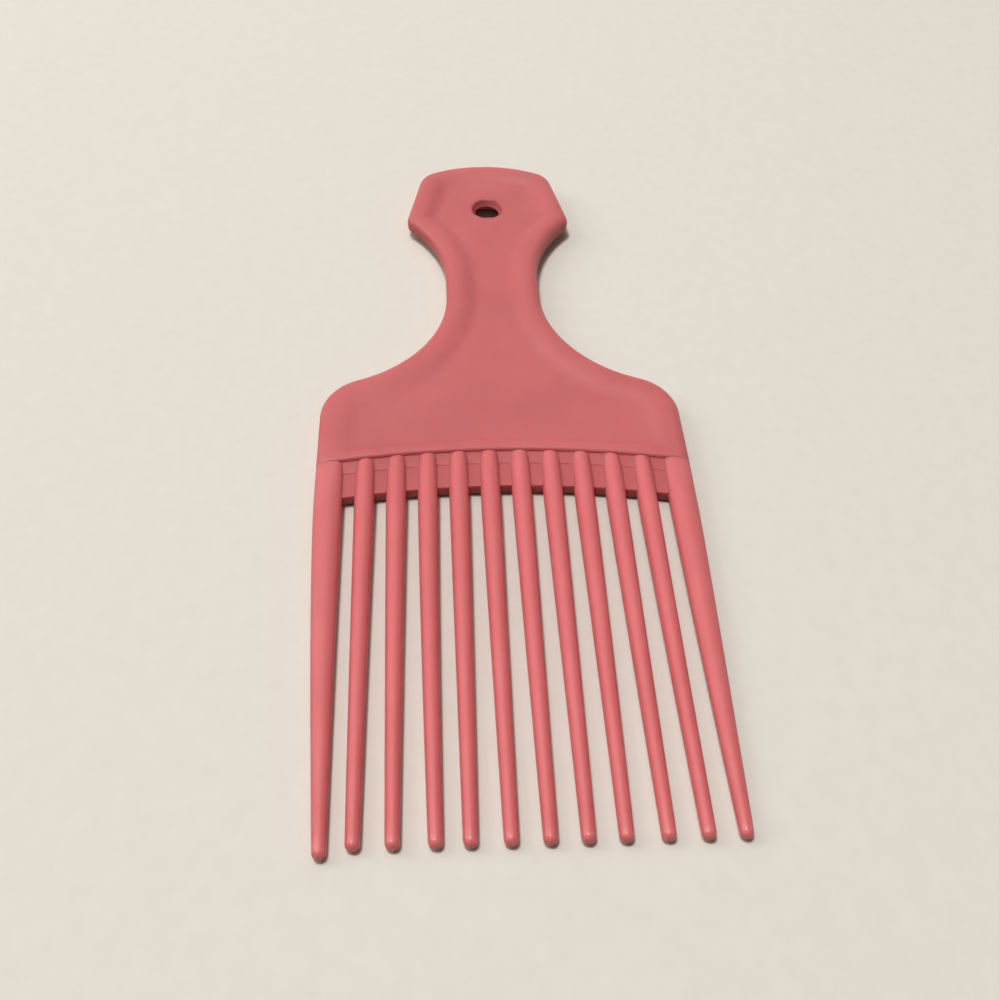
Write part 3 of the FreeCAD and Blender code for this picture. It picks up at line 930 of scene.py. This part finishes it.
@dataclass(frozen=True)
class Web:
    """A thin web between two teeth: a stepped seat under the lip, a flat shelf and a rounded front edge.

    Its underside is flat, and lies deeper below the middle plane than the shelf stands above it, by the keel.
    """

    measure: Measure
    lip: LipArch
    node: str
    left: Station
    right: Station
    length: float = 7.8
    half_thickness: float = 0.6
    keel: float = 0.9
    front_round: float = 0.25
    seat_height: float = 1.2
    seat_edge_height: float = 0.78
    seat_length: float = 2.0
    seat_round: float = 0.5
    plug: float = 0.8
    sink_share: float = 0.25
    fillet: float = 0.4
    fillet_rise: float = 0.08
    arc_steps: int = 6

    def profile(self) -> list[tuple[float, float, float]]:
        """Upper half of the web's section.

        Returns:
            Distance from the lip towards the tips, height, and the fillet's rise along the flanks.
        """
        rise = self.fillet_rise
        points = [(-self.plug, self.seat_height, rise), (0.0, self.seat_height, rise)]
        drop = self.seat_edge_height - self.half_thickness
        for step in range(self.arc_steps + 1):
            angle = QUARTER_TURN * step / self.arc_steps
            points.append((self.seat_length + self.seat_round * math.sin(angle),
                           self.half_thickness + drop * math.cos(angle), rise))
        shelf_end = self.length - self.front_round
        for step in range(self.arc_steps + 1):
            angle = QUARTER_TURN * step / self.arc_steps
            points.append((shelf_end + self.front_round * math.sin(angle),
                           self.half_thickness - self.front_round * (1 - math.cos(angle)),
                           rise * math.cos(angle)))
        return points

    def row(self, height: float, rise: float) -> list[tuple[float, float]]:
        """Points across the web at one place of its section, from inside one tooth to inside the other.

        Args:
            height: height of the web's face between its fillets.
            rise: how far the face rises to meet the flanks.

        Returns:
            Place along x and height of each point.
        """
        halves = []
        for flank, sign in ((self.left, 1), (self.right, -1)):
            contact = flank.x + sign * flank.reach(height + rise)
            half = [(flank.x + sign * self.sink_share * flank.half_width, height + rise)]
            for step in range(self.arc_steps + 1):
                share = step / self.arc_steps
                half.append((contact + sign * self.fillet * share, height + rise * (1 - share) ** 2))
            halves.append(half)
        return halves[0] + list(reversed(halves[1]))

    def build(self) -> bpy.types.Object:
        """Builds the web's mesh as a loft of its section, closed inside the teeth and the plate."""
        rows = [(run, 1, self.row(height, rise)) for run, height, rise in self.profile()]
        rows += [(run, -1, self.row(min(height, self.half_thickness) + self.keel, rise))
                 for run, height, rise in reversed(self.profile())]
        across = len(rows[0][2])
        corners = [self.measure.place(x, self.lip.height(x, -run), face * height)
                   for run, face, row in rows for x, height in row]
        faces = []
        for row in range(len(rows)):
            following = (row + 1) % len(rows)
            for spot in range(across - 1):
                faces.append((row * across + spot, row * across + spot + 1,
                              following * across + spot + 1, following * across + spot))
        for end in (0, across - 1):
            faces.append(tuple(row * across + end for row in range(len(rows))))
        return make_piece(self.node + "_moulding", corners, faces)


# Studio

@dataclass(frozen=True)
class Lamp:
    """A round soft lamp, with the share of full white that it gives a level surface below it."""

    name: str
    direction: tuple[float, float, float]
    distance: float
    width: float
    share: float

    def hang(self, target: Vector) -> None:
        """Hangs the lamp and turns it towards the target.

        Args:
            target: point that the lamp lights, in the frame's metres.
        """
        towards = Vector(self.direction).normalized()
        light = bpy.data.lights.new(self.name, "AREA")
        light.shape = "DISK"
        light.size = self.width
        # A matt white surface shows the share power * slant / (pi * distance) ** 2 of full white.
        light.energy = self.share * (math.pi * self.distance) ** 2 / towards.z
        lamp = bpy.data.objects.new(self.name, light)
        lamp.location = target + towards * self.distance
        lamp.rotation_euler = (-towards).to_track_quat("-Z", "Y").to_euler()
        bpy.context.scene.collection.objects.link(lamp)


@dataclass(frozen=True)
class Studio:
    """Pale floor, soft lamps and the camera at the viewing angle.  Places are in the pick's own measure."""

    measure: Measure
    floor_size: float = 1800.0
    sky_colour: str = "#EFEBE4"
    sky_share: float = 0.15
    # Where the plate's foot touches the floor; the tips touch it too, and the head stands clear.
    floor_contact: float = 88.0
    tip_level: float = -1.12
    camera_place: tuple[float, float, float] = (-12.5, -62.6, 147.8)
    camera_target: tuple[float, float, float] = (-1.2, 63.4, 0.0)
    camera_roll: float = math.radians(3.07)
    focal_length: float = 39.64
    sensor_width: float = 36.0
    lamps: tuple[Lamp, ...] = (
        Lamp("key_lamp", (-0.2, 0.09, 1.0), 2.4, 0.55, 0.53),
        Lamp("side_lamp", (-0.8, 0.3, 0.55), 2.0, 1.2, 0.14),
        Lamp("fill_lamp", (-0.15, 0.45, 0.9), 2.4, 2.4, 0.2))

    def lay_floor(self, backdrop: PaperBackdrop) -> None:
        """Lays the floor that the pick rests on, with its tips and the foot of its plate."""
        half = self.floor_size / 2
        low = -self.measure.half_thickness
        slope = (low - self.tip_level) / self.floor_contact
        corners = ((-half, -half), (half, -half), (half, half), (-half, half))
        mesh = bpy.data.meshes.new("floor")
        mesh.from_pydata([self.measure.place(x, y, self.tip_level + slope * y) for x, y in corners],
                         [], [(0, 1, 2, 3)])
        floor = bpy.data.objects.new("floor", mesh)
        bpy.context.scene.collection.objects.link(floor)
        floor.data.materials.append(backdrop.material())
        floor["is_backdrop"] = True

    def light(self) -> None:
        """Hangs the lamps and sets the pale surroundings."""
        target = self.measure.place(*self.camera_target)
        for lamp in self.lamps:
            lamp.hang(target)
        world = bpy.data.worlds.new("studio")
        world.use_nodes = True
        tree = world.node_tree
        tree.nodes.clear()
        strength = add_node(tree, "ShaderNodeMapRange", {
            "Value": background_rays(tree), "To Min": self.sky_share, "To Max": 1.0})
        sky = add_node(tree, "ShaderNodeBackground", {
            "Color": linear_colour(self.sky_colour), "Strength": strength.outputs["Result"]})
        add_node(tree, "ShaderNodeOutputWorld", {"Surface": sky.outputs["Background"]})
        bpy.context.scene.world = world

    def set_camera(self) -> None:
        """Sets the camera at the viewing angle."""
        lens = bpy.data.cameras.new("camera")
        lens.sensor_fit = "HORIZONTAL"
        lens.sensor_width = self.sensor_width
        lens.lens = self.focal_length
        lens.clip_start = MM
        camera = bpy.data.objects.new("camera", lens)
        place = self.measure.place(*self.camera_place)
        towards = self.measure.place(*self.camera_target) - place
        level = towards.to_track_quat("-Z", "Y").to_matrix()
        turned = (level @ Matrix.Rotation(self.camera_roll, 3, "Z")).to_4x4()
        camera.matrix_world = Matrix.Translation(place) @ turned
        bpy.context.scene.collection.objects.link(camera)
        bpy.context.scene.camera = camera


# The pick

@dataclass(frozen=True)
class Pick:
    """The whole pick: plate, teeth and webs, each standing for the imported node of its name."""

    measure: Measure
    plastic: bpy.types.Material
    # Lighter copy of the plastic for the teeth: its lighter colour is painted light.
    painted_light_thin_plastic: bpy.types.Material
    # Darker copy of the plastic for the webs: painted shade, with a clear coat for their gloss.
    polished_painted_shade_plastic: bpy.types.Material
    lip: LipArch = LipArch()
    # Sideways lean of each tip, from the left guard tooth to the right one, as the moulded teeth spring.
    leans: tuple[float, ...] = (0.6, 0.3, 0.25, 0.7, 0.0, 0.15, 0.1, -0.1, -0.3, 0.15, 0.3, 0.85)
    left_overreach: float = 1.1

    def dress(self, piece: bpy.types.Object, node: str, finish: bpy.types.Material) -> None:
        """Gives a piece its finish, ties it to the pick's body and lets it stand for a node."""
        piece.data.materials.append(finish)
        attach(piece, BODY)
        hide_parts(node)
        LOG.info("built %s for %s: %d corners", piece.name, node, len(piece.data.vertices))

    def teeth(self) -> list[Tooth]:
        """All teeth from the left guard tooth to the right one, placed where the frame has them."""
        inner_nodes = ["tooth_%02d" % number for number in range(1, len(self.leans) - 1)]
        inner = []
        for node, lean in zip(inner_nodes, self.leans[1:-1]):
            low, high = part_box(node)
            inner.append(Tooth(self.measure, self.lip, node, (low.x + high.x) / 2 / MM, lean))
        left = GuardTooth(self.measure, self.lip, "guard_tooth_left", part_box("guard_tooth_left")[1].x / MM,
                          self.leans[0], overreach=self.left_overreach, side=Side.LEFT)
        right = GuardTooth(self.measure, self.lip, "guard_tooth_right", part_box("guard_tooth_right")[0].x / MM,
                           self.leans[-1], side=Side.RIGHT)
        return [left] + inner + [right]

    def build(self) -> None:
        """Builds and dresses every piece."""
        outline = PlateOutline(self.measure.half_width, self.lip)
        plate = HandlePlate(self.measure, outline)
        self.dress(plate.build(), plate.node, self.plastic)
        teeth = self.teeth()
        for tooth in teeth:
            self.dress(tooth.build(), tooth.node, self.painted_light_thin_plastic)
        for number, (left, right) in enumerate(zip(teeth, teeth[1:]), start=1):
            web = Web(self.measure, self.lip, "web_%02d" % number, left.flank(), right.flank())
            self.dress(web.build(), web.node, self.polished_painted_shade_plastic)


def main() -> None:
    """Loads the frame, builds the pick and its studio."""
    logging.basicConfig(level=logging.INFO, format="%(message)s")
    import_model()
    measure = Measure.from_frame()
    bpy.context.scene.view_settings.view_transform = "Standard"
    plastic = MouldedPolypropylene().material(measure.tip_line)
    # The teeth's plastic is a lighter copy of the plate's: painted light that brightens the teeth.
    thin = MouldedPolypropylene(
        name="polypropylene_thin_pink_painted_light", colour="#DE6C6F", cloud_colour="#D86668")
    # The webs' plastic is a darker copy of the plate's: painted shade between the teeth, with a clear coat for
    # gloss.
    polished = MouldedPolypropylene(
        name="polypropylene_polished_pink_painted_shade", colour="#C64649", cloud_colour="#C04043", coat=0.2)
    Pick(measure, plastic, thin.material(measure.tip_line), polished.material(measure.tip_line)).build()
    studio = Studio(measure)
    studio.lay_floor(PaperBackdrop(studio.sky_colour))
    studio.light()
    studio.set_camera()
    bpy.context.view_layer.update()


if __name__ == "__main__":
    main()
